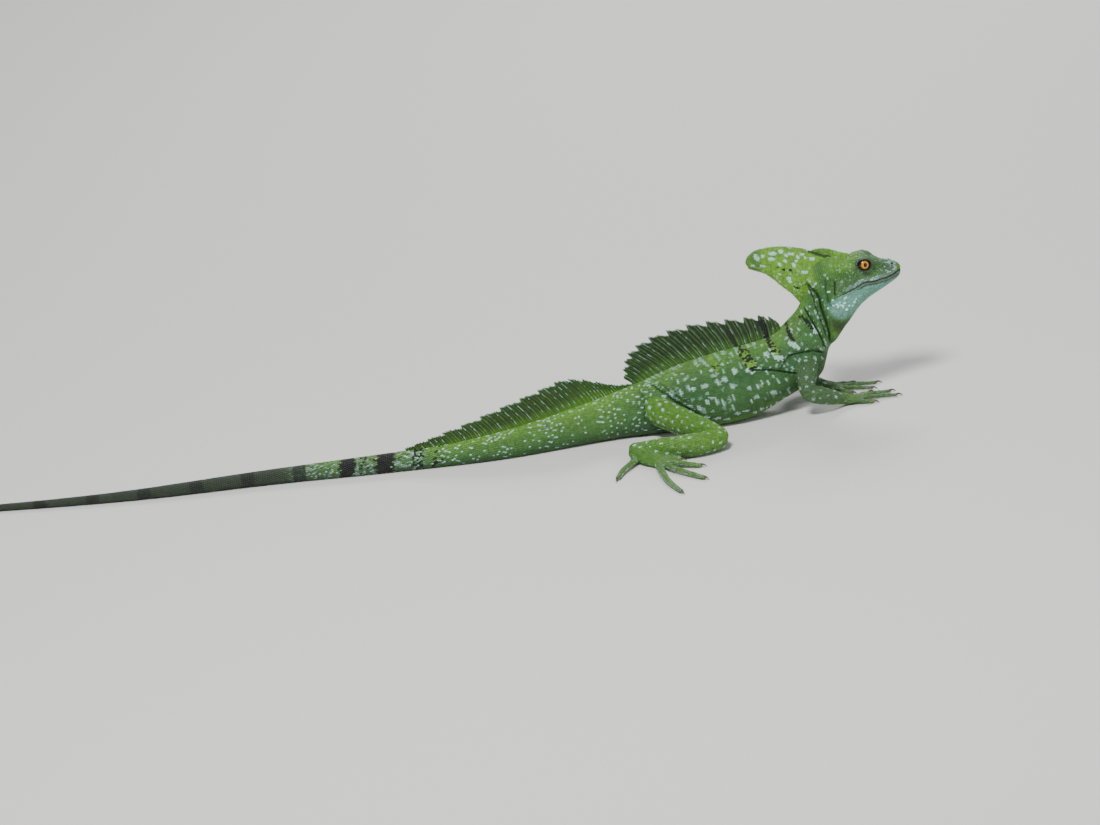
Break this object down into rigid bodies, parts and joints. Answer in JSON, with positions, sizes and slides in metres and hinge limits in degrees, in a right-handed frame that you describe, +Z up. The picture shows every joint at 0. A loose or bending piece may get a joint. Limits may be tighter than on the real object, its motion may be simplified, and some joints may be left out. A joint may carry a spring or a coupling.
{
  "type": "green basilisk lizard",
  "caption": "Crested green lizard lying with its head raised: back sail, tail fin, head plume, splayed clawed feet and a long thin tail. A still life-size figure.",
  "frame": {"origin": "middle of the flat of the belly, on the floor", "axes": "+Z up, +X towards the head, so the animal's right side faces -Y and its left side +Y"},
  "size_m": [0.7768, 0.2633, 0.1178],
  "materials": {
    "head_skin": "satin scales",
    "body_skin": "satin scales",
    "tail_skin": "satin scales",
    "fin_skin": "satin scales",
    "leg_skin": "satin scales",
    "foot_skin": "satin scales",
    "eye": "wet gloss"
  },
  "bodies": {
    "root": {"back_sail": "fin_skin", "eye_left": "eye", "eye_right": "eye", "front_crest": "fin_skin", "head": "head_skin", "head_plume": "fin_skin", "left_fore_foot": "foot_skin", "left_forearm": "leg_skin", "left_hind_foot": "foot_skin", "left_shank": "leg_skin", "left_thigh": "leg_skin", "left_upper_arm": "leg_skin", "neck": "body_skin", "right_fore_foot": "foot_skin", "right_forearm": "leg_skin", "right_hind_foot": "foot_skin", "right_shank": "leg_skin", "right_thigh": "leg_skin", "right_upper_arm": "leg_skin", "tail_base": "body_skin", "tail_fin": "fin_skin", "tail_middle": "tail_skin", "tail_rear": "tail_skin", "tail_tip": "tail_skin", "torso": "body_skin"}
  },
  "joints": []
}
